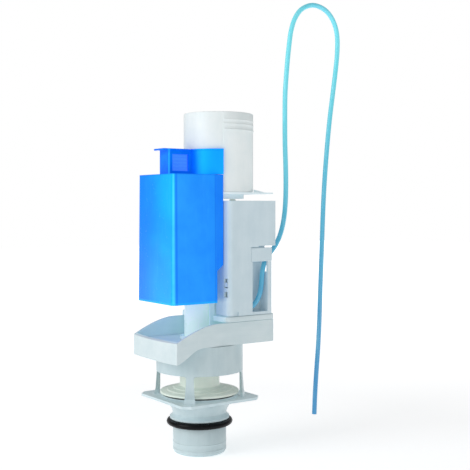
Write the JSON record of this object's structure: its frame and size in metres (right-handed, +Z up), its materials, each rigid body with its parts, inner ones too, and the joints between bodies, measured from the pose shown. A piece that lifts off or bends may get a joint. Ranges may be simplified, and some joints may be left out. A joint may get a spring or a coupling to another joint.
{
  "type": "flush valve",
  "caption": "Concealed-cistern flush valve: lifting overflow column with disc seal, float, air actuator and hose on an outlet spigot.",
  "frame": {"origin": "on the outlet's axis, in the plane of the flange plate's underside", "axes": "+Z up along the overflow tube, +X from the float towards the actuator housing, -Y towards the side with the hose pocket"},
  "size_m": [0.1968, 0.084, 0.4256],
  "materials": {
    "white_plastic": "satin moulded polypropylene",
    "cream_plastic": "satin moulded plastic",
    "grey_plastic": "satin moulded plastic",
    "blue_plastic": "glossy translucent polypropylene",
    "black_rubber": "moulded rubber",
    "grey_rubber": "moulded silicone rubber",
    "blue_hose": "translucent extruded tube"
  },
  "bodies": {
    "valve_body": {"outlet_spigot": "white_plastic", "spigot_o_ring": "black_rubber", "valve_cage": "white_plastic", "water_tray": "white_plastic", "deck_plate": "white_plastic", "tube_bush": "cream_plastic", "tube_guide": "white_plastic", "actuator_housing": "white_plastic", "hose_bridge": "white_plastic", "housing_latch_near": "white_plastic", "housing_latch_far": "white_plastic", "air_nozzle": "grey_plastic", "bellows_base": "white_plastic", "bellows": "black_rubber", "air_hose": "blue_hose"},
    "lift_column": {"overflow_tube": "white_plastic", "overflow_head": "white_plastic", "lifting_plate": "white_plastic", "valve_disc": "cream_plastic", "disc_seal": "grey_rubber", "seal_retainer": "cream_plastic"},
    "pusher": {"pusher_rod": "cream_plastic", "bellows_cap": "white_plastic"},
    "float": {"float_bell": "blue_plastic", "float_collar": "blue_plastic"},
    "slider": {"volume_slider": "blue_plastic"}
  },
  "joints": [
    {"name": "column_lift", "type": "slide", "parent": "valve_body", "child": "lift_column", "axis": [0, 0, 1], "range_m": [0, 0.014]},
    {"name": "pusher_travel", "type": "slide", "parent": "valve_body", "child": "pusher", "axis": [0, 0, 1], "range_m": [0, 0.014], "deforming": ["bellows"]},
    {"name": "float_height", "type": "slide", "parent": "lift_column", "child": "float", "axis": [0, 0, 1], "range_m": [-0.01, 0.008]},
    {"name": "volume_setting", "type": "slide", "parent": "float", "child": "slider", "axis": [0, 0, 1], "range_m": [-0.002, 0.002]}
  ],
  "couplings": [
    {"joint": "pusher_travel", "follows": "column_lift", "ratio": 1}
  ]
}
